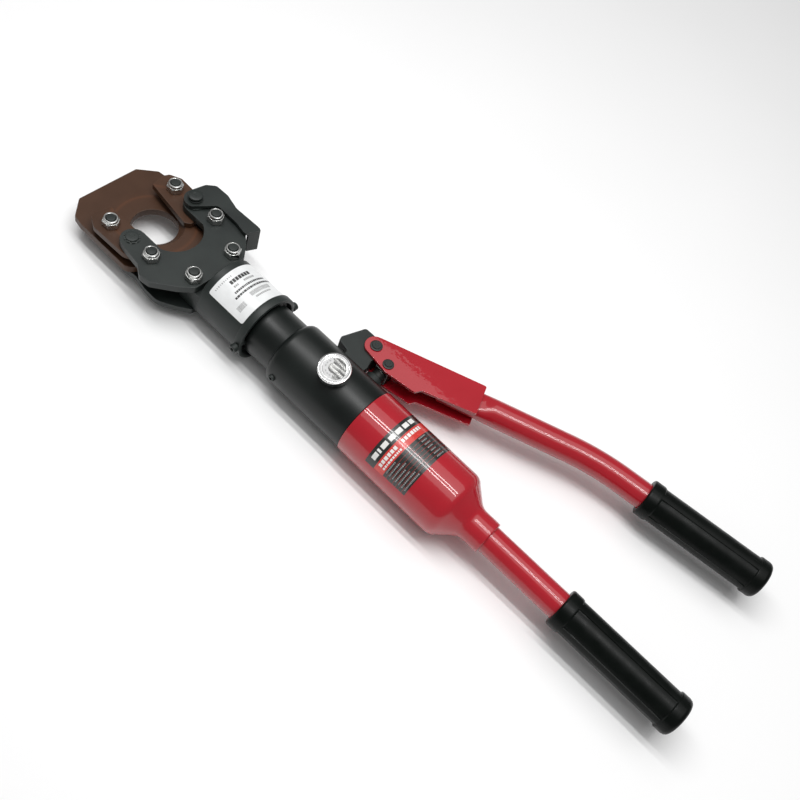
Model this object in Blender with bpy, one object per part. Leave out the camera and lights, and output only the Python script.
"""Hand-pumped hydraulic cable cutter with a 40 mm guillotine head.

The tool lies flat. Its long axis runs along X, the blades point to -X and the pump lever is on
the +Y side. Dimensions below are in millimetres from the centre of the cable opening, which lies
on the long axis, and MM turns them into metres. Every piece hangs on the empty of its own joint.
"""

from math import asin, cos, degrees, pi, radians, sin

import bmesh
import bpy
from mathutils import Matrix, Vector

MM = 0.001
GAP = 0.3

# Where the tool's own origin sits in the world: centred on its box, standing on the ground.
AXIS_HEIGHT = 30.9
CENTRE_X = 255.0
CENTRE_Y = 54.81

# Head, levels along Z from the bottom up
PLATE = 7.0
BOTTOM_PLATE = 6.0
TOP_FACE = 14.9
TOP_UNDERSIDE = TOP_FACE - PLATE
GUIDE_TOP = TOP_UNDERSIDE - GAP
GUIDE = 5.6
GUIDE_UNDERSIDE = GUIDE_TOP - GUIDE
SHEAR_FACE = -5.65
FIXED_BLADE = 7.0
BLADE_BOTTOM = SHEAR_FACE + GAP
BLADE_TOP = GUIDE_UNDERSIDE - GAP
BOTTOM_TOP = SHEAR_FACE - FIXED_BLADE - GAP
BOTTOM_FACE = BOTTOM_TOP - BOTTOM_PLATE

# Head, places in the plate
OPENING_R = 20.0
NOTCH_R = 25.0
NOTCH_X = 22.0
PIN_X = 11.0
PIN_Y = 33.2
PIN_R = 5.0
SLOT_R = PIN_R + 1.2
ARM_R = 10.9
EAR_R = 14.0
GUIDE_EAR_R = 12.5
CLIP_R = 7.4
CLIP = 1.5
GUIDE_BOLT = (-14.3, 33.8)
FRONT_BOLT = (35.3, 34.2)
REAR_BOLT = (70.5, 20.9)
BOLT_R = 3.9
HOLE_R = 4.2
BOLT_FLAT = 6.4
BOLT_HEAD = 4.8
NUT_FLAT = 6.5
NUT_HEX = 5.4
NUT_HIGH = 8.0
LATCH_SHEET = 3.0
LATCH_DROP = 5.0
PLATE_REAR = 79.5

# Sleeve, collar, cylinder
SLEEVE_R = 29.3
SLEEVE_BORE = 24.6
SLEEVE_FRONT = 84.0
SLEEVE_END = 129.7
COLLAR_R = 30.9
COLLAR_END = 137.0
COLLAR_SCREW_X = 134.0
SCREW_HOLE_R = 2.5
CYLINDER_R = 24.25
CYLINDER_FRONT = 122.0
BORE_R = 19.0
BORE_END = 214.0
STEP_X = 163.0
BODY_R = 29.0
BODY_END = 247.7
SPIGOT_R = 27.2
SPIGOT_END = 262.0
BLEED_X = 173.0

# Ram
STROKE = 42.0
ROD_R = 12.0
ROD_FRONT = 122.0
PISTON_FRONT = 195.0
PISTON_LONG = 16.0
BLADE_PIN_X = 129.0
GLAND_FRONT = 122.5
GLAND_LONG = 8.0
SPRING_TURNS = 5.5
SPRING_R = 15.4
WIRE_R = 1.5

# Tank and fixed handle
TANK_R = 29.9
TANK_SHOULDER = 341.0
NECK_R = 14.3
NECK_X = 367.0
NECK_END = 381.5
TUBE_R = 11.7
GRIP_R = 16.2
GRIP_BORE = TUBE_R + GAP
FIXED_GRIP = (454.0, 570.0)

# Pump lever
PIVOT = (208.5, 53.5)
DRIVE = (227.2, 48.0)
CHEEK_OUT = 10.5
CHEEK_IN = 8.0
LUG_HALF = 7.7
PLUNGER_X = 226.6
PLUNGER_R = 6.0
TUBE_START = (268.0, 73.3)
TUBE_BEND = (401.0, 125.0)
GRIP_START = (448.4, 131.4)
GRIP_LONG = 115.0
GRIP_ANGLE = 7.6

# Release knob
KNOB_X = 211.0
KNOB_TILT = 10.0
KNOB_R = 13.5
KNOB_TOP = 40.0
KNOB_BASE = 32.0
SPINDLE_R = 4.0


# ---------------------------------------------------------------- scene and materials

for old in list(bpy.data.objects):
    bpy.data.objects.remove(old, do_unlink=True)


def material(name, colour, roughness, metallic):
    made = bpy.data.materials.new(name)
    made.use_nodes = True
    shader = made.node_tree.nodes["Principled BSDF"]
    shader.inputs["Base Color"].default_value = (*colour, 1.0)
    shader.inputs["Roughness"].default_value = roughness
    shader.inputs["Metallic"].default_value = metallic
    return made


BLACKED = material("blackened_steel", (0.030, 0.036, 0.033), 0.45, 0.8)
BRONZED = material("bronzed_blade_steel", (0.080, 0.032, 0.018), 0.42, 0.8)
SATIN_BLACK = material("satin_black_paint", (0.018, 0.021, 0.019), 0.40, 0.0)
RED = material("red_paint", (0.42, 0.012, 0.020), 0.22, 0.0)
GRIP_BLACK = material("black_grip_plastic", (0.016, 0.018, 0.017), 0.38, 0.0)
ZINC = material("zinc_steel", (0.62, 0.62, 0.60), 0.28, 1.0)
CHROME = material("chrome", (0.78, 0.78, 0.78), 0.12, 1.0)
STEEL = material("ground_steel", (0.50, 0.50, 0.48), 0.25, 1.0)
SEAL = material("seal_rubber", (0.02, 0.02, 0.02), 0.60, 0.0)


# ---------------------------------------------------------------- joints' empties


def empty(name, at, parent=None, tilt=0.0):
    """An empty on a joint's axis. at is in the tool's own millimetres."""
    made = bpy.data.objects.new(name, None)
    bpy.context.scene.collection.objects.link(made)
    made["at"] = at
    start = parent["at"] if parent else (CENTRE_X, CENTRE_Y, -AXIS_HEIGHT)
    made.parent = parent
    made.location = (Vector(at) - Vector(start)) * MM
    made.rotation_euler = (radians(tilt), 0.0, 0.0)
    return made


TOOL = empty("tool", (0.0, 0.0, 0.0))
HEAD = empty("head_axis", (COLLAR_SCREW_X, 0.0, 0.0), TOOL)
HOLDER = empty("blade_hinge_axis", (PIN_X, -PIN_Y, 0.0), HEAD)
LATCH = empty("latch_axis", (PIN_X, PIN_Y, 0.0), HEAD)
RAM = empty("ram_axis", (PISTON_FRONT, 0.0, 0.0), HEAD)
LEVER = empty("lever_axis", (*PIVOT, 0.0), TOOL)
PLUNGER = empty("plunger_axis", (PLUNGER_X, BODY_R, 0.0), TOOL)
KNOB = empty("knob_axis", (KNOB_X, 0.0, 0.0), TOOL, KNOB_TILT)


# ---------------------------------------------------------------- mesh helpers


def finish(name, mesh, skin, parent, at, turn=(0.0, 0.0, 0.0), sharp=35.0):
    """Turns a bmesh in millimetres into an object at the place `at`, hung on a joint's empty."""
    bmesh.ops.recalc_face_normals(mesh, faces=mesh.faces)
    bmesh.ops.scale(mesh, vec=(MM, MM, MM), verts=mesh.verts)
    data = bpy.data.meshes.new(name)
    mesh.to_mesh(data)
    mesh.free()
    data.shade_smooth()
    data.set_sharp_from_angle(angle=radians(sharp))
    if skin:
        data.materials.append(skin)
    made = bpy.data.objects.new(name, data)
    bpy.context.scene.collection.objects.link(made)
    made.parent = parent
    made.location = (Vector(at) - Vector(parent["at"])) * MM
    made.rotation_euler = turn
    return made


ALONG_X = (0.0, pi / 2, 0.0)
ALONG_Y = (-pi / 2, 0.0, 0.0)
ALONG_Z = (0.0, 0.0, 0.0)


def turned(profile, steps=32):
    """A turned solid about Z. profile is a list of (z, radius), either a closed ring of points
    or an open line that starts and ends on the axis."""
    mesh = bmesh.new()
    points = [mesh.verts.new((radius, 0.0, z)) for z, radius in profile]
    pairs = list(zip(points, points[1:]))
    if profile[0][1] > 0.0:
        pairs.append((points[-1], points[0]))
    edges = [mesh.edges.new(pair) for pair in pairs]
    bmesh.ops.spin(
        mesh, geom=points + edges, cent=(0, 0, 0), axis=(0, 0, 1),
        angle=2 * pi, steps=steps, use_merge=True,
    )
    bmesh.ops.remove_doubles(mesh, verts=mesh.verts, dist=1e-4)
    return mesh


def loop_edges(mesh, points):
    verts = [mesh.verts.new((x, y, 0.0)) for x, y in points]
    return [mesh.edges.new((a, b)) for a, b in zip(verts, verts[1:] + verts[:1])]


def circle(x, y, radius, steps=14):
    turns = [2 * pi * k / steps for k in range(steps)]
    return [(x + radius * cos(a), y + radius * sin(a)) for a in turns]


def arc(x, y, radius, start, end, steps):
    """Points on an arc from angle start to angle end, in degrees, both ends included."""
    turns = [radians(start + (end - start) * k / steps) for k in range(steps + 1)]
    return [(x + radius * cos(a), y + radius * sin(a)) for a in turns]


def prism(outline, low, high, holes=()):
    """An outline in XY, with holes, extruded along Z from low to high. A corner of the outline is
    (x, y), or (x, y, radius) where it is rounded."""
    mesh = bmesh.new()
    edges = loop_edges(mesh, rounded(outline))
    for hole in holes:
        edges += loop_edges(mesh, hole)
    bmesh.ops.triangle_fill(mesh, use_beauty=True, edges=edges)
    grown = bmesh.ops.extrude_face_region(mesh, geom=mesh.faces[:])
    raised = [item for item in grown["geom"] if isinstance(item, bmesh.types.BMVert)]
    bmesh.ops.translate(mesh, vec=(0.0, 0.0, high - low), verts=raised)
    bmesh.ops.translate(mesh, vec=(0.0, 0.0, low), verts=mesh.verts)
    return mesh


def shifted(outline, x, y):
    return [(corner[0] - x, corner[1] - y, *corner[2:]) for corner in outline]


def mirrored(outline):
    """The same outline on the other side of the X axis, still running the same way round."""
    return [(corner[0], -corner[1], *corner[2:]) for corner in reversed(outline)]


def rounded(corners, steps=3):
    """The outline with each corner's radius turned into an arc."""
    out = []
    count = len(corners)
    for k, corner in enumerate(corners):
        here = Vector(corner[:2])
        if len(corner) < 3:
            out.append(corner)
            continue
        radius = corner[2]
        back = (Vector(corners[k - 1][:2]) - here).normalized()
        ahead = (Vector(corners[(k + 1) % count][:2]) - here).normalized()
        half = back.angle(ahead) / 2
        reach = radius / max(sin(half) / cos(half), 1e-6)
        centre = here + (back + ahead).normalized() * (radius / sin(half))
        first = here + back * reach - centre
        last = here + ahead * reach - centre
        sweep = first.angle_signed(last)
        for step in range(steps + 1):
            spoke = first.copy()
            spoke.rotate(Matrix.Rotation(-sweep * step / steps, 2))
            out.append(tuple(centre + spoke))
    return out


def cutter(name, mesh, parent, at, turn=ALONG_Z):
    made = finish(name, mesh, None, parent, at, turn)
    made.hide_render = True
    made.display_type = "WIRE"
    return made


def boolean(target, tool, operation="DIFFERENCE"):
    step = target.modifiers.new(operation.lower() + "_" + tool.name, "BOOLEAN")
    step.operation = operation
    step.object = tool
    step.solver = "EXACT"


def box(half_x, half_y, half_z):
    mesh = bmesh.new()
    bmesh.ops.create_cube(mesh, size=2.0)
    bmesh.ops.scale(mesh, vec=(half_x, half_y, half_z), verts=mesh.verts)
    return mesh


# ---------------------------------------------------------------- frame of the head


def side_plate_outline(shoulder):
    """Symmetrical plate: two arms round the pins, the round notch between them, a rear edge.
    shoulder is the line from the right arm back to the rear edge."""
    edge = PIN_Y - ARM_R
    reach = degrees(asin(edge / NOTCH_R))
    half = arc(PIN_X + 1.5, PIN_Y, ARM_R, 270.0, 90.0, 10) + shoulder
    notch = arc(NOTCH_X, 0.0, NOTCH_R, 360.0 - reach, 360.0 + reach, 14)
    return half + mirrored(half) + notch


def side_plates():
    """Two dark plates that hold the pins and the moving blade. The lower one is narrower."""
    angular = [
        (33.9, 46.9, 4.0), (43.3, 53.2, 4.0), (53.2, 51.5, 5.0), (70.0, 37.1, 6.0),
        (PLATE_REAR, 26.0, 4.0),
    ]
    smooth = [
        (26.0, 41.6, 10.0), (40.0, 44.2, 14.0), (55.0, 44.6, 14.0), (69.0, 36.2, 12.0),
        (PLATE_REAR, 28.0, 3.0),
    ]
    holes = []
    for side in (-1, 1):
        holes.append(circle(PIN_X, side * PIN_Y, PIN_R + GAP))
        for x, y in (FRONT_BOLT, REAR_BOLT):
            holes.append(circle(x, side * y, HOLE_R))
    plates = {
        "side_plate_top": (TOP_UNDERSIDE, TOP_FACE, angular),
        "side_plate_bottom": (BOTTOM_FACE, BOTTOM_TOP, smooth),
    }
    for name, (low, high, shoulder) in plates.items():
        mesh = prism(side_plate_outline(shoulder), 0.0, high - low, holes)
        finish(name, mesh, BLACKED, HEAD, (0.0, 0.0, low))


def hexagon(flat):
    return [(flat / cos(pi / 6) * cos(pi / 3 * k), flat / cos(pi / 6) * sin(pi / 3 * k))
            for k in range(6)]


def nut(name, parent, x, y, z):
    """Hexagon lower part, turned crown above it, one closed body."""
    body = finish(name, prism(hexagon(NUT_FLAT), 0.0, NUT_HEX), ZINC, parent, (x, y, z))
    ring = [(4.4, 0.0), (4.4, 6.3), (7.2, 6.2), (NUT_HIGH, 5.2), (NUT_HIGH, 0.0)]
    crown = cutter(name + "_crown", turned(ring, 14), parent, (x, y, z))
    drill = [(-1.0, 0.0), (-1.0, HOLE_R), (NUT_HIGH + 1.0, HOLE_R), (NUT_HIGH + 1.0, 0.0)]
    bore = cutter(name + "_bore", turned(drill, 12), parent, (x, y, z))
    boolean(body, crown, "UNION")
    boolean(body, bore)


def bolt(name, parent, x, y, low, high):
    """A bolt with its hexagon head below `low` and its end at `high`."""
    head = finish(name, prism(hexagon(BOLT_FLAT), -BOLT_HEAD, 0.0), BLACKED, parent,
                  (x, y, low - GAP))
    long = high - low + GAP
    shank = [(-1.0, 0.0), (-1.0, BOLT_R), (long - 0.6, BOLT_R), (long, BOLT_R - 0.6), (long, 0.0)]
    body = cutter(name + "_shank", turned(shank, 12), parent, (x, y, low - GAP))
    boolean(head, body, "UNION")


def frame_fasteners():
    """Four bolts with lock nuts hold the side plates together."""
    places = {"front": FRONT_BOLT, "rear": REAR_BOLT}
    for where, (x, y) in places.items():
        for side, label in ((-1, "left"), (1, "right")):
            name = where + "_" + label
            bolt("frame_bolt_" + name, HEAD, x, side * y, BOTTOM_FACE,
                 TOP_FACE + NUT_HIGH + 0.7)
            nut("frame_nut_" + name, HEAD, x, side * y, TOP_FACE + GAP)
    for side, label in ((-1, "left"), (1, "right")):
        low = BOTTOM_TOP + GAP
        ring = [(low, 7.5), (low, HOLE_R), (GUIDE_TOP, HOLE_R), (GUIDE_TOP, 7.5)]
        finish("frame_spacer_" + label, turned(ring, 20), BLACKED, HEAD,
               (FRONT_BOLT[0], side * FRONT_BOLT[1], 0.0))


def head_sleeve():
    """Round socket behind the plates. Two tongues reach between the plates to the rear bolts."""
    tube = [
        (SLEEVE_FRONT, 14.8), (SLEEVE_FRONT, 28.3), (SLEEVE_FRONT + 1.0, SLEEVE_R),
        (SLEEVE_END, SLEEVE_R), (SLEEVE_END, SLEEVE_BORE), (90.0, SLEEVE_BORE), (90.0, 14.8),
    ]
    sleeve = finish("head_sleeve", turned(tube, 36), BLACKED, HEAD, (0, 0, 0), ALONG_X)
    middle = (GUIDE_TOP + BOTTOM_TOP + GAP) / 2
    half = (GUIDE_TOP - BOTTOM_TOP - GAP) / 2
    for side in (-1, 1):
        tongue = cutter("sleeve_tongue", box(12.5, 5.7, half), HEAD,
                        (74.5, side * 20.8, middle))
        boolean(sleeve, tongue, "UNION")
        hole = cutter("tongue_hole", turned([(-30, 0), (-30, HOLE_R), (30, HOLE_R), (30, 0)], 12),
                      HEAD, (REAR_BOLT[0], side * REAR_BOLT[1], 0.0))
        boolean(sleeve, hole)


def sleeve_collar():
    """Ring at the sleeve's end. Its two screws run in the cylinder's groove."""
    low = SLEEVE_END + GAP
    ring = [
        (low, SLEEVE_BORE), (low, COLLAR_R - 0.6), (low + 0.6, COLLAR_R), (COLLAR_END, COLLAR_R),
        (COLLAR_END, 27.6), (COLLAR_END - 5.0, SLEEVE_BORE),
    ]
    collar = finish("sleeve_collar", turned(ring, 36), BLACKED, HEAD, (0, 0, 0), ALONG_X)
    for side, label in ((-1, "left"), (1, "right")):
        drill = [(20.0, 0.0), (20.0, SCREW_HOLE_R), (36.0, SCREW_HOLE_R), (36.0, 0.0)]
        turn = (-side * pi / 2, 0.0, 0.0)
        hole = cutter("collar_hole_" + label, turned(drill, 12), HEAD,
                      (COLLAR_SCREW_X, 0.0, 0.0), turn)
        boolean(collar, hole)
        screw = [
            (22.4, 0.0), (22.4, 1.6), (23.0, 2.2), (COLLAR_R + GAP, 2.2), (COLLAR_R + GAP, 3.6),
            (COLLAR_R + 4.4, 3.6), (COLLAR_R + 5.0, 3.0), (COLLAR_R + 5.0, 1.5),
            (COLLAR_R + 2.6, 1.5), (COLLAR_R + 2.6, 0.0),
        ]
        finish("collar_screw_" + label, turned(screw, 12), BLACKED, HEAD,
               (COLLAR_SCREW_X, 0.0, 0.0), turn)


def hinge_pin():
    """Left pin on which the blade holder swings, with its low head and the clip below."""
    low = BOTTOM_FACE - 3.0
    pin = [
        (low, 0.0), (low, PIN_R - 0.6), (low + 0.6, PIN_R), (TOP_FACE + GAP, PIN_R),
        (TOP_FACE + GAP, 6.6), (TOP_FACE + 2.0, 6.6), (TOP_FACE + 2.6, 6.0),
        (TOP_FACE + 2.6, 0.0),
    ]
    finish("hinge_pin", turned(pin, 20), BLACKED, HEAD, (PIN_X, -PIN_Y, 0.0))
    top = BOTTOM_FACE - GAP
    clip = [(top - CLIP, PIN_R + GAP), (top, PIN_R + GAP), (top, CLIP_R), (top - CLIP, CLIP_R)]
    finish("hinge_clip", turned(clip, 14), BLACKED, HEAD, (PIN_X, -PIN_Y, 0.0))


# ---------------------------------------------------------------- blade holder


def latch_ear(radius, inner, outer):
    """The right ear: its tip below the pin, the slot open toward +X, its tip above the pin.
    inner and outer are the angles at which the ear's arc meets the rest of the outline."""
    lip = degrees(asin(SLOT_R / radius))
    points = arc(PIN_X, PIN_Y, radius, inner, -lip, 3) if inner else [(22.0, PIN_Y - SLOT_R)]
    points += arc(PIN_X, PIN_Y, SLOT_R, 270.0, 90.0, 8)
    return points + arc(PIN_X, PIN_Y, radius, lip, outer, 4)


def fixed_blade():
    """Octagonal blade plate. The cutting edge is the rim of the opening at the upper face."""
    x, y = GUIDE_BOLT
    start = 66.0
    outline = latch_ear(EAR_R, -62.0, 66.0)
    outline += [
        (-38.0, 46.0, 2.0), (-47.0, 44.4, 2.0), (-60.0, 30.0, 2.5),
        (-60.0, -30.0, 2.5), (-47.0, -44.4, 2.0), (-38.0, -46.0, 2.0),
    ]
    outline += arc(PIN_X, -PIN_Y, EAR_R, -66.0, 60.0, 8)
    outline += arc(0.0, 0.0, OPENING_R, -start, start - 360.0, 30)
    holes = [circle(PIN_X, -PIN_Y, PIN_R + GAP), circle(x, -y, HOLE_R), circle(x, y, HOLE_R)]
    mesh = prism(shifted(outline, PIN_X, -PIN_Y), 0.0, FIXED_BLADE,
                 [shifted(hole, PIN_X, -PIN_Y) for hole in holes])
    finish("fixed_blade", mesh, BRONZED, HOLDER, (PIN_X, -PIN_Y, SHEAR_FACE - FIXED_BLADE))


def guides():
    """Two guide pieces above the blade slot, each on a spacer, a bolt and a lock nut."""
    x, y = GUIDE_BOLT
    rest = [(-20.1, 46.6, 4.0), (-29.8, 41.2, 3.0), (-31.6, 36.5, 2.0), (-29.4, 22.0, 0.8)]
    right = latch_ear(GUIDE_EAR_R, None, 80.0) + rest + [(18.4, 15.4, 2.5), (22.6, 19.5, 2.5)]
    left = arc(PIN_X, PIN_Y, GUIDE_EAR_R, -80.0, 80.0, 10) + rest
    for label, side, outline in (("right", 1, right), ("left", -1, mirrored(left))):
        holes = [circle(x, side * y, HOLE_R)]
        if side < 0:
            holes.append(circle(PIN_X, -PIN_Y, PIN_R + GAP))
        mesh = prism(shifted(outline, PIN_X, -PIN_Y), 0.0, GUIDE,
                     [shifted(hole, PIN_X, -PIN_Y) for hole in holes])
        finish("guide_" + label, mesh, BRONZED, HOLDER, (PIN_X, -PIN_Y, GUIDE_UNDERSIDE))
        ring = [(BLADE_BOTTOM, 6.5), (BLADE_BOTTOM, HOLE_R), (BLADE_TOP, HOLE_R), (BLADE_TOP, 6.5)]
        finish("guide_spacer_" + label, turned(ring, 20), BRONZED, HOLDER, (x, side * y, 0.0))
        bolt("guide_bolt_" + label, HOLDER, x, side * y, SHEAR_FACE - FIXED_BLADE,
             GUIDE_TOP + NUT_HIGH + 0.4)
        nut("guide_nut_" + label, HOLDER, x, side * y, GUIDE_TOP + GAP)


# ---------------------------------------------------------------- latch


def latch():
    """Latch lever of bent sheet above the right arm, keyed on the latch pin."""
    low = TOP_FACE + 1.6
    top = low + LATCH_SHEET
    eye = arc(PIN_X, PIN_Y, 9.6, 300.0, 170.0, 10)
    outline = eye + [
        (4.4, 50.5, 4.0), (10.5, 57.4, 4.0), (24.0, 58.0, 6.0), (39.0, 54.2, 8.0),
        (69.2, 55.6, 3.0), (63.2, 41.0, 2.0), (50.0, 43.4, 5.0), (28.0, 43.4, 5.0),
    ]
    mesh = prism(shifted(outline, PIN_X, PIN_Y), 0.0, LATCH_SHEET, [circle(0, 0, PIN_R + GAP)])
    lever = finish("latch_lever", mesh, BLACKED, LATCH, (PIN_X, PIN_Y, low))
    drop = top + LATCH_DROP
    tab = cutter("latch_tab", box(LATCH_SHEET / 2, 5.2, drop / 2), LATCH,
                 (65.1, 50.0, top - drop / 2), (0.0, 0.0, radians(-22.3)))
    boolean(lever, tab, "UNION")
    base = BOTTOM_FACE - 3.0
    pin = [
        (base, 0.0), (base, PIN_R - 0.6), (base + 0.6, PIN_R), (top + GAP, PIN_R),
        (top + GAP, 6.4), (top + 1.7, 6.4), (top + 1.7, PIN_R), (top + 2.8, PIN_R),
        (top + 2.8, 6.2), (top + 4.2, 6.2), (top + 4.8, 5.6), (top + 4.8, 0.0),
    ]
    finish("latch_pin", turned(pin, 20), BLACKED, LATCH, (PIN_X, PIN_Y, 0.0))
    under = TOP_FACE + GAP
    washer = [(under, PIN_R + GAP), (low - GAP, PIN_R + GAP), (low - GAP, 9.6), (under, 9.6)]
    finish("latch_washer", turned(washer, 24), BLACKED, LATCH, (PIN_X, PIN_Y, 0.0))
    base_top = BOTTOM_FACE - GAP
    clip = [(base_top - CLIP, PIN_R + GAP), (base_top, PIN_R + GAP), (base_top, CLIP_R),
            (base_top - CLIP, CLIP_R)]
    finish("latch_clip", turned(clip, 14), BLACKED, LATCH, (PIN_X, PIN_Y, 0.0))


# ---------------------------------------------------------------- ram and moving blade


def moving_blade():
    """Blade with a concave edge that closes the opening. Its tail reaches into the ram's rod."""
    half = [
        (4.0, 22.6), (4.0, 25.0, 1.0), (56.0, 25.0, 4.0), (63.0, 13.2, 4.0),
        (112.0, 13.2, 2.0), (115.0, 10.0, 2.0), (134.0, 10.0, 1.0),
    ]
    start = degrees(asin(19.0 / OPENING_R))
    outline = arc(0.0, 0.0, OPENING_R, -start, start, 16) + half + mirrored(half)
    high = BLADE_TOP - BLADE_BOTTOM
    mesh = prism(outline, 0.0, high, [circle(BLADE_PIN_X, 0.0, HOLE_R)])
    blade = finish("moving_blade", mesh, BRONZED, RAM, (0.0, 0.0, BLADE_BOTTOM))
    cone = [(0.6, 0.0), (0.6, OPENING_R - 1.0), (high + 0.5, OPENING_R + 6.2), (high + 0.5, 0.0)]
    bevel = cutter("blade_edge_bevel", turned(cone, 48), RAM, (0.0, 0.0, BLADE_BOTTOM))
    boolean(blade, bevel)


def ram():
    """Rod and piston in one piece, the piston's seal, and the pin through the blade's tail."""
    rear = PISTON_FRONT + PISTON_LONG
    face = BORE_R - GAP
    low = PISTON_FRONT + 6.0
    high = PISTON_FRONT + 10.0
    depth = 3.0
    profile = [
        (ROD_FRONT, 0.0), (ROD_FRONT, ROD_R - 1.0), (ROD_FRONT + 1.0, ROD_R),
        (PISTON_FRONT, ROD_R), (PISTON_FRONT, face), (low, face), (low, face - depth),
        (high, face - depth), (high, face), (rear - 1.0, face), (rear, face - 1.0), (rear, 0.0),
    ]
    made = finish("ram", turned(profile, 28), CHROME, RAM, (0, 0, 0), ALONG_X)
    slot = box(7.4, 14.0, (BLADE_TOP - BLADE_BOTTOM) / 2 + GAP)
    boolean(made, cutter("ram_slot", slot, RAM,
                         (127.1, 0.0, (BLADE_TOP + BLADE_BOTTOM) / 2)))
    hole = [(-20.0, 0.0), (-20.0, HOLE_R), (20.0, HOLE_R), (20.0, 0.0)]
    boolean(made, cutter("ram_hole", turned(hole, 16), RAM, (BLADE_PIN_X, 0.0, 0.0)))
    pin = [(-10.4, 0.0), (-10.4, 3.9), (10.4, 3.9), (10.4, 0.0)]
    finish("blade_pin", turned(pin, 16), STEEL, RAM, (BLADE_PIN_X, 0.0, 0.0))
    inner = face - depth + GAP
    seal = [(low + GAP, inner), (low + GAP, face), (high - GAP, face), (high - GAP, inner)]
    finish("piston_seal", turned(seal, 28), SEAL, RAM, (0, 0, 0), ALONG_X)


def return_spring():
    """Helical spring between the front gland and the piston."""
    start = GLAND_FRONT + GLAND_LONG + GAP + WIRE_R
    long = PISTON_FRONT - GAP - WIRE_R - start
    steps = int(SPRING_TURNS * 12)
    path = bpy.data.curves.new("return_spring", "CURVE")
    path.dimensions = "3D"
    line = path.splines.new("POLY")
    line.points.add(steps)
    for k in range(steps + 1):
        turn = 2 * pi * SPRING_TURNS * k / steps
        x = start + long * k / steps
        spot = (x * MM, SPRING_R * cos(turn) * MM, SPRING_R * sin(turn) * MM)
        line.points[k].co = (*spot, 1.0)
    path.bevel_depth = WIRE_R * MM
    path.bevel_resolution = 0
    path.use_fill_caps = True
    path.materials.append(STEEL)
    spring = bpy.data.objects.new("return_spring", path)
    bpy.context.scene.collection.objects.link(spring)
    spring.parent = TOOL


# ---------------------------------------------------------------- cylinder, tank, fixed handle


def ram_cylinder():
    """Bored cylinder with the pump block behind it, in one piece."""
    groove = 2.4
    profile = [
        (BORE_END, 0.0), (BORE_END, BORE_R), (CYLINDER_FRONT, BORE_R),
        (CYLINDER_FRONT, CYLINDER_R - 1.0), (CYLINDER_FRONT + 1.0, CYLINDER_R),
        (COLLAR_SCREW_X - 2.7, CYLINDER_R), (COLLAR_SCREW_X - 2.7, CYLINDER_R - groove),
        (COLLAR_SCREW_X + 2.7, CYLINDER_R - groove), (COLLAR_SCREW_X + 2.7, CYLINDER_R),
        (STEP_X, CYLINDER_R), (STEP_X + 0.8, 26.8), (STEP_X + 2.6, 28.4), (STEP_X + 5.0, BODY_R),
        (BODY_END, BODY_R), (BODY_END, SPIGOT_R), (SPIGOT_END, SPIGOT_R), (SPIGOT_END, 0.0),
    ]
    block = finish("ram_cylinder", turned(profile, 36), SATIN_BLACK, TOOL, (0, 0, 0), ALONG_X)
    bore = [(-3.0, 0.0), (-3.0, PLUNGER_R + GAP), (21.6, PLUNGER_R + GAP), (21.6, 8.3),
            (34.0, 8.3), (34.0, 0.0)]
    boolean(block, cutter("plunger_bore", turned(bore, 16), TOOL, (PLUNGER_X, 0, 0), ALONG_Y))
    seat = [(21.0, 0.0), (21.0, 4.4), (34.0, 4.4), (34.0, 0.0)]
    boolean(block, cutter("spindle_bore", turned(seat, 16), KNOB, (KNOB_X, 0, 0)))
    tap = [(24.0, 0.0), (24.0, 3.3), (34.0, 3.3), (34.0, 0.0)]
    boolean(block, cutter("bleed_bore", turned(tap, 12), TOOL, (BLEED_X, 0, 0), (pi / 2, 0, 0)))
    screw = [(24.5, 0.0), (24.5, 3.0), (30.2, 3.0), (30.8, 2.5), (30.8, 1.4), (28.0, 1.4),
             (28.0, 0.0)]
    finish("bleed_screw", turned(screw, 12), BLACKED, TOOL, (BLEED_X, 0, 0), (pi / 2, 0, 0))
    rear = GLAND_FRONT + GLAND_LONG
    ring = [(GLAND_FRONT, BORE_R - GAP), (GLAND_FRONT, ROD_R + GAP), (rear, ROD_R + GAP),
            (rear, BORE_R - GAP)]
    finish("front_gland", turned(ring, 24), STEEL, TOOL, (0, 0, 0), ALONG_X)


def oil_tank():
    """Red tank with a rounded shoulder and a neck, and the rubber bladder inside."""
    wall = 2.4
    shoulder = [
        (TANK_SHOULDER, TANK_R), (346.0, 28.9), (350.0, 26.6), (360.0, 18.8), (363.4, 16.0),
        (NECK_X, NECK_R),
    ]
    outer = [(370.0, 0.0), (370.0, GRIP_BORE), (NECK_END, GRIP_BORE), (NECK_END, NECK_R - 0.8),
             (NECK_END - 0.8, NECK_R)] + shoulder[::-1]
    inner = [(248.0, TANK_R), (248.0, TANK_R - wall), (340.0, TANK_R - wall), (359.0, 13.0),
             (362.0, 0.0)]
    finish("oil_tank", turned(outer + inner, 36), RED, TOOL, (0, 0, 0), ALONG_X)
    bag = [(266.0, 0.0), (266.0, 20.0), (270.0, 24.5), (334.0, 24.5), (345.0, 16.0), (352.0, 0.0)]
    finish("oil_bladder", turned(bag, 24), SEAL, TOOL, (0, 0, 0), ALONG_X)


def grip_profile(long):
    """A grip from its open end at 0 to its domed end at `long`, with a collar at each end."""
    return [
        (0.0, GRIP_BORE), (0.0, GRIP_R - 0.9), (0.9, GRIP_R + 0.3), (8.0, GRIP_R + 0.3),
        (9.0, GRIP_R - 0.3), (long - 13.0, GRIP_R), (long - 12.0, GRIP_R + 0.6),
        (long - 5.0, GRIP_R + 0.6), (long - 1.6, GRIP_R - 2.2), (long, GRIP_R - 6.0),
        (long, 0.0), (long - 4.0, 0.0), (long - 4.0, GRIP_BORE),
    ]


def grip_mesh(long):
    """The grip's bore stops short of its domed end."""
    points = grip_profile(long)
    return turned(points[-2:] + points[:-2], 28)


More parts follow.
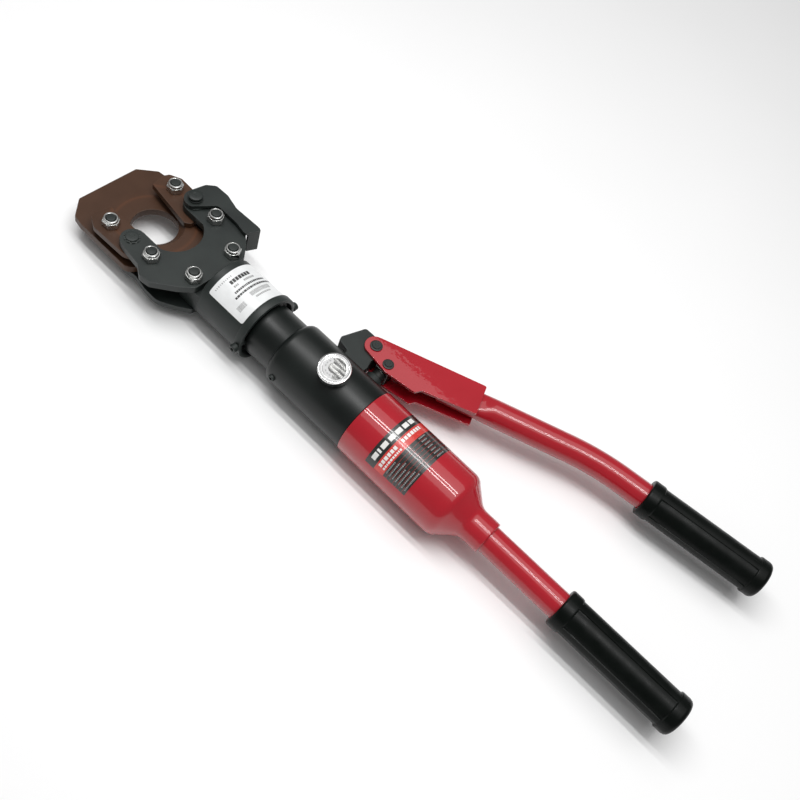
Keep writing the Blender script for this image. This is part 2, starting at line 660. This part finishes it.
def fixed_handle():
    """Straight tube in the tank's neck, with its grip."""
    start, end = FIXED_GRIP
    tube = [(370.4, 9.6), (370.4, TUBE_R), (end - 4.6, TUBE_R), (end - 4.6, 9.6)]
    finish("fixed_tube", turned(tube, 28), RED, TOOL, (0, 0, 0), ALONG_X)
    finish("fixed_grip", grip_mesh(end - start), GRIP_BLACK, TOOL, (start, 0, 0), ALONG_X)


# ---------------------------------------------------------------- pump lever


def lever_lug():
    """T-shaped lug on the cylinder's side that carries the lever's pivot."""
    outline = [
        (195.0, 25.0), (196.0, 33.0, 2.0), (184.0, 35.5, 1.5), (182.6, 39.5, 2.0),
        (190.0, 61.7, 2.5), (198.0, 62.0, 2.0),
    ]
    outline += arc(*PIVOT, 8.6, 110.0, -20.0, 8)
    outline += [(215.0, 41.0, 3.0), (217.5, 34.0, 2.0), (217.5, 25.0)]
    mesh = prism(shifted(outline, *PIVOT), -LUG_HALF, LUG_HALF, [circle(0.0, 0.0, 3.8)])
    lug = finish("lever_lug", mesh, BLACKED, TOOL, (*PIVOT, 0.0))
    body = [(150.0, 0.0), (150.0, BODY_R + GAP), (240.0, BODY_R + GAP), (240.0, 0.0)]
    boolean(lug, cutter("lug_seat", turned(body, 60), TOOL, (0, 0, 0), ALONG_X))


def pump():
    """Gland and plunger. The plunger's eye has a short slot for the lever's drive pin."""
    gland = [(22.0, PLUNGER_R + GAP), (35.0, PLUNGER_R + GAP), (35.0, 7.4), (34.4, 8.0),
             (22.0, 8.0)]
    finish("pump_gland", turned(gland, 20), BLACKED, TOOL, (PLUNGER_X, 0, 0), ALONG_Y)
    outline = [(-6.8, 41.2, 1.5), (6.8, 41.2, 1.5), (6.8, 54.8, 4.0), (-6.8, 54.8, 4.0)]
    reach = 2.0
    slot = arc(reach, DRIVE[1], 3.5, -90.0, 90.0, 6) + arc(-reach, DRIVE[1], 3.5, 90.0, 270.0, 6)
    mesh = prism(shifted(outline, 0.0, BODY_R), -LUG_HALF, LUG_HALF, [shifted(slot, 0.0, BODY_R)])
    plunger = finish("pump_plunger", mesh, STEEL, PLUNGER, (PLUNGER_X, BODY_R, 0.0))
    rod = [(6.0, 0.0), (6.0, PLUNGER_R), (42.0, PLUNGER_R), (42.0, 0.0)]
    boolean(plunger, cutter("plunger_rod", turned(rod, 20), PLUNGER, (PLUNGER_X, 0, 0), ALONG_Y),
            "UNION")


def lever_bracket():
    """U-shaped red sheet bracket. The bridge joins the cheeks on the side away from the tool."""
    outline = arc(*PIVOT, 9.8, 245.0, 110.0, 9) + [
        (294.8, 98.9, 1.5), (306.0, 71.1, 1.5), (261.5, 51.5, 2.0), (258.9, 45.7, 3.0),
        (230.5, 41.0, 8.0),
    ]
    drive = circle(DRIVE[0] - PIVOT[0], DRIVE[1] - PIVOT[1], 3.3)
    mesh = prism(shifted(outline, *PIVOT), -CHEEK_OUT, CHEEK_OUT, [circle(0, 0, 3.8), drive])
    bracket = finish("lever_bracket", mesh, RED, LEVER, (*PIVOT, 0.0))
    start = Vector(TUBE_START)
    way = (Vector(TUBE_BEND) - start).normalized()
    beside = start + Vector((-way.y, way.x)) * (TUBE_R + GAP)
    near = beside + way * ((232.0 - beside.x) / way.x)
    far = beside + way * ((320.0 - beside.x) / way.x)
    hollow = [(190.0, 30.0), (320.0, 30.0), tuple(far), tuple(near), (near.x, 110.0),
              (190.0, 110.0)]
    inside = cutter("bracket_inside", prism(hollow, -CHEEK_IN, CHEEK_IN), LEVER, (0, 0, 0))
    boolean(bracket, inside)


def lever_tube():
    """Bent tube. Its front end is pressed flat between the bracket's cheeks."""
    start = Vector((*TUBE_START, 0.0))
    bend = Vector((*TUBE_BEND, 0.0))
    first = (bend - start).normalized()
    second = Vector((cos(radians(GRIP_ANGLE)), sin(radians(GRIP_ANGLE)), 0.0))
    end = Vector((*GRIP_START, 0.0)) + second * (GRIP_LONG - 6.0)
    reach = 26.0
    into = bend - first * reach
    out = bend + second * reach
    spots = [start, start + first * 36.0, start + first * 50.0]
    for t in (k / 6 for k in range(7)):
        spots.append(into.lerp(bend, t).lerp(bend.lerp(out, t), t))
    spots.append(end)
    around = 24
    mesh = bmesh.new()

    def skin_of(places, radius, flat_until):
        rings = []
        for k, spot in enumerate(places):
            ahead = places[min(k + 1, len(places) - 1)] - places[max(k - 1, 0)]
            across = Vector((-ahead.y, ahead.x, 0.0)).normalized()
            high = LUG_HALF if k < flat_until else radius
            ring = []
            for step in range(around):
                turn = 2 * pi * step / around
                rim = across * (radius * cos(turn)) + Vector((0.0, 0.0, high * sin(turn)))
                ring.append(mesh.verts.new(spot + rim - Vector((*PIVOT, 0.0))))
            rings.append(ring)
        for low, high in zip(rings, rings[1:]):
            for a in range(around):
                b = (a + 1) % around
                mesh.faces.new((low[a], low[b], high[b], high[a]))
        mesh.faces.new(rings[0])
        return rings[-1]

    outer = skin_of(spots, TUBE_R, 2)
    inner = skin_of([start + first * 54.0] + spots[3:], TUBE_R - 2.2, 0)
    for a in range(around):
        b = (a + 1) % around
        mesh.faces.new((outer[a], outer[b], inner[b], inner[a]))
    finish("lever_tube", mesh, RED, LEVER, (*PIVOT, 0.0))


def lever_handle():
    """Grip, pivot pin and drive pin."""
    turn = Matrix.Rotation(radians(GRIP_ANGLE), 3, "Z") @ Matrix.Rotation(pi / 2, 3, "Y")
    finish("lever_grip", grip_mesh(GRIP_LONG), GRIP_BLACK, LEVER, (*GRIP_START, 0.0),
           turn.to_euler())
    for name, (x, y), radius in (("pivot", PIVOT, 3.5), ("drive", DRIVE, 3.0)):
        face = CHEEK_OUT + GAP
        pin = [
            (-face - 2.4, 0.0), (-face - 2.4, radius), (face, radius), (face, radius + 1.9),
            (face + 1.2, radius + 1.9), (face + 1.8, radius + 1.3), (face + 1.8, 0.0),
        ]
        finish("lever_" + name + "_pin", turned(pin, 16), BLACKED, LEVER, (x, y, 0.0))


# ---------------------------------------------------------------- release knob


def release_knob():
    """Chrome knob on the release valve's spindle."""
    socket = SPINDLE_R + GAP
    profile = [
        (KNOB_TOP - 4.3, 0.0), (KNOB_TOP - 4.3, socket), (KNOB_BASE, socket), (KNOB_BASE, 9.5),
        (KNOB_BASE + 1.6, 9.5), (KNOB_BASE + 2.4, KNOB_R), (KNOB_TOP - 0.9, KNOB_R),
        (KNOB_TOP, KNOB_R - 0.9), (KNOB_TOP, 0.0),
    ]
    finish("release_knob", turned(profile, 28), CHROME, KNOB, (KNOB_X, 0, 0))
    top = KNOB_TOP - 4.6
    spindle = [(21.6, 0.0), (23.0, 3.0), (23.0, SPINDLE_R), (top, SPINDLE_R), (top, 0.0)]
    finish("release_spindle", turned(spindle, 16), STEEL, KNOB, (KNOB_X, 0, 0))


side_plates()
frame_fasteners()
head_sleeve()
sleeve_collar()
hinge_pin()
fixed_blade()
guides()
latch()
moving_blade()
ram()
return_spring()
ram_cylinder()
oil_tank()
fixed_handle()
lever_lug()
pump()
lever_bracket()
lever_tube()
lever_handle()
release_knob()
